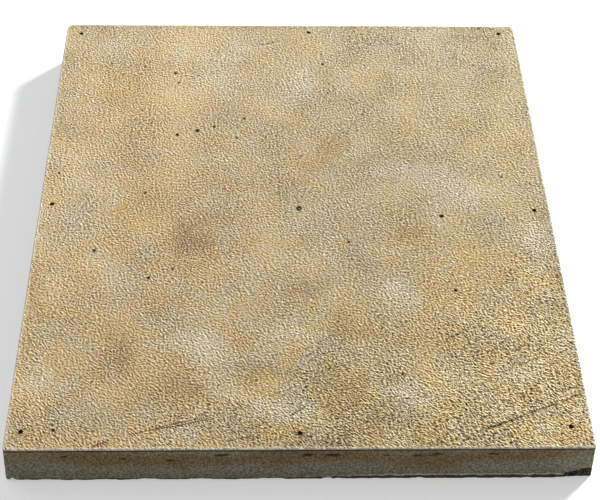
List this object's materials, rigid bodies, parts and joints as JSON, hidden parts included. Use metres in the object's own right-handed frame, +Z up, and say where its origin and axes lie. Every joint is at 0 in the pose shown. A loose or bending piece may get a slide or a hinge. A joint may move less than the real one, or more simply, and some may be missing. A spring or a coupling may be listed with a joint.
{
  "type": "stone slab",
  "caption": "Rectangular faced stone slab for tooling leather on: a thin grained facing, bedded and pinned to a thicker stone backing.",
  "frame": {"origin": "middle of the underside, on the surface that the slab lies on", "axes": "+X along the front edge to the right, +Y from front to back, +Z up out of the working face"},
  "size_m": [0.3248, 0.362, 0.03],
  "materials": {
    "grey_stone": "sawn, matt grey-olive stone with brown iron stains along its upper part",
    "stone_adhesive": "hard dark brown stone adhesive, matt",
    "tan_stone": "matt buff and ochre stone with pale clouds and a fine leather-like grain",
    "dull_steel": "dull, darkened steel wire"
  },
  "bodies": {
    "root": {"backing_slab": "grey_stone", "bonding_bed": "stone_adhesive", "facing_panel": "tan_stone", "pin_back_left": "dull_steel", "pin_back_middle": "dull_steel", "pin_back_right": "dull_steel", "pin_middle_left": "dull_steel", "pin_centre": "dull_steel", "pin_middle_right": "dull_steel", "pin_front_left": "dull_steel", "pin_front_middle": "dull_steel", "pin_front_right": "dull_steel"}
  },
  "joints": []
}
